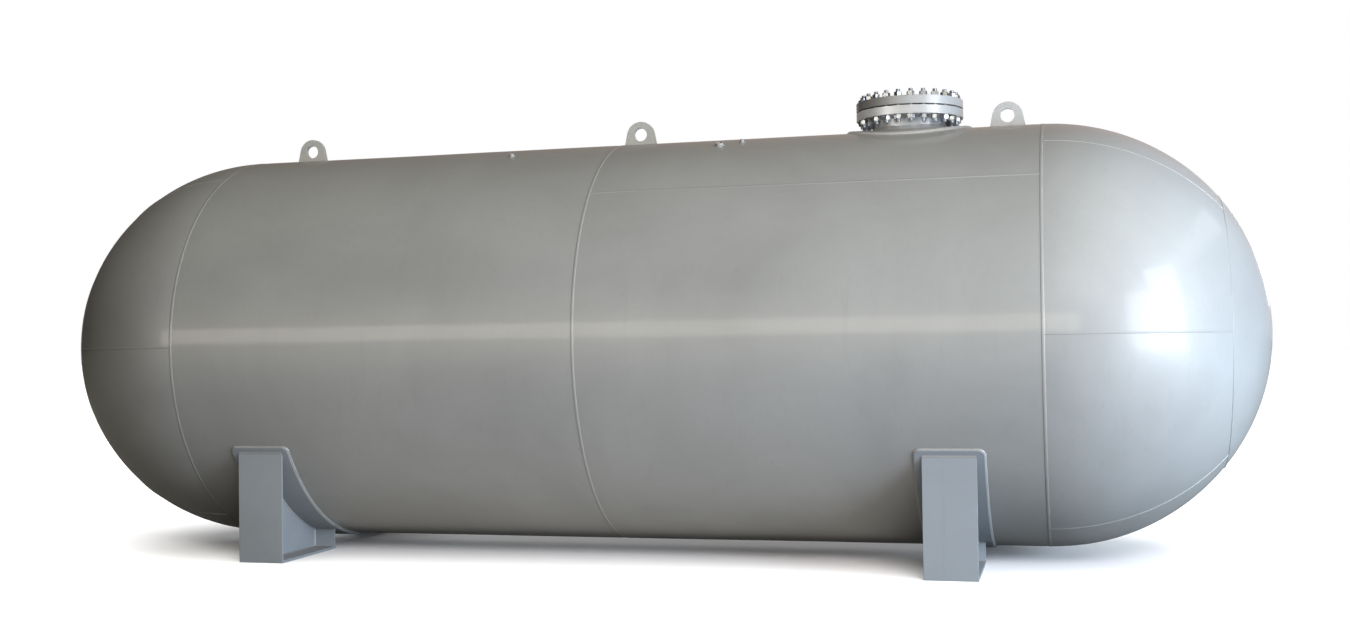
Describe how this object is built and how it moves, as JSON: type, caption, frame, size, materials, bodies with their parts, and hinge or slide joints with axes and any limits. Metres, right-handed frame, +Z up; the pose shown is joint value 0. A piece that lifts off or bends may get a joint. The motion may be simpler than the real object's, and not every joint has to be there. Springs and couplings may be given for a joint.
{
  "type": "air receiver tank",
  "caption": "Horizontal welded air receiver with hemispherical petal heads, a bolted manway on top, lifting lugs, screwed couplings and saddle feet.",
  "frame": {"origin": "on the ground, centred under the middle girth weld between the saddle feet", "axes": "+X along the vessel towards the manway end, +Y towards the far side, +Z up"},
  "size_m": [9.16, 3.0068, 3.345],
  "materials": {
    "vessel_paint": "semi-gloss grey enamel",
    "weld_paint": "semi-gloss grey enamel over rippled weld metal",
    "manway_paint": "semi-gloss grey enamel on machined flanges",
    "saddle_paint": "semi-gloss grey enamel on flat plate",
    "coupling_steel": "grey enamel with bright machined rim",
    "zinc_plated_steel": "bright zinc plate",
    "gasket": "matt black"
  },
  "bodies": {
    "root": {"shell_course_left": "vessel_paint", "shell_course_right": "vessel_paint", "girth_welds": "weld_paint", "long_seam_welds": "weld_paint", "left_head_petal_1": "vessel_paint", "left_head_petal_2": "vessel_paint", "left_head_petal_3": "vessel_paint", "left_head_petal_4": "vessel_paint", "left_head_petal_5": "vessel_paint", "left_head_petal_6": "vessel_paint", "left_head_crown": "vessel_paint", "left_head_welds": "weld_paint", "right_head_petal_1": "vessel_paint", "right_head_petal_2": "vessel_paint", "right_head_petal_3": "vessel_paint", "right_head_petal_4": "vessel_paint", "right_head_petal_5": "vessel_paint", "right_head_petal_6": "vessel_paint", "right_head_crown": "vessel_paint", "right_head_welds": "weld_paint", "manway_pad": "manway_paint", "manway_neck": "manway_paint", "manway_flange": "manway_paint", "manway_welds": "weld_paint", "manway_gasket": "gasket", "manway_studs": "zinc_plated_steel", "manway_lower_nuts": "zinc_plated_steel", "lifting_lug_left": "vessel_paint", "lifting_lug_middle": "vessel_paint", "lifting_lug_right": "vessel_paint", "lug_welds": "weld_paint", "gauge_coupling": "coupling_steel", "relief_coupling": "coupling_steel", "sensor_coupling": "coupling_steel", "drain_coupling": "coupling_steel", "left_saddle_wear_plate": "saddle_paint", "right_saddle_wear_plate": "saddle_paint", "left_near_base_plate": "saddle_paint", "left_near_end_plate": "saddle_paint", "left_near_web": "saddle_paint", "left_near_rib": "saddle_paint", "left_far_base_plate": "saddle_paint", "left_far_end_plate": "saddle_paint", "left_far_web": "saddle_paint", "left_far_rib": "saddle_paint", "right_near_base_plate": "saddle_paint", "right_near_end_plate": "saddle_paint", "right_near_web": "saddle_paint", "right_near_rib": "saddle_paint", "right_far_base_plate": "saddle_paint", "right_far_end_plate": "saddle_paint", "right_far_web": "saddle_paint", "right_far_rib": "saddle_paint"},
    "manway_cover": {"manway_cover": "manway_paint"},
    "upper_nuts": {"manway_upper_nuts": "zinc_plated_steel"},
    "drain_plug": {"drain_plug": "zinc_plated_steel"}
  },
  "joints": [
    {"name": "manway_cover_lift", "type": "slide", "parent": "root", "child": "manway_cover", "axis": [0, 0, 1], "range_m": [0, 0.6]},
    {"name": "upper_nuts_unscrew", "type": "slide", "parent": "manway_cover", "child": "upper_nuts", "axis": [0, 0, 1], "range_m": [0, 0.05]},
    {"name": "drain_plug_unscrew", "type": "slide", "parent": "root", "child": "drain_plug", "axis": [0, 0, -1], "range_m": [0, 0.018]}
  ]
}
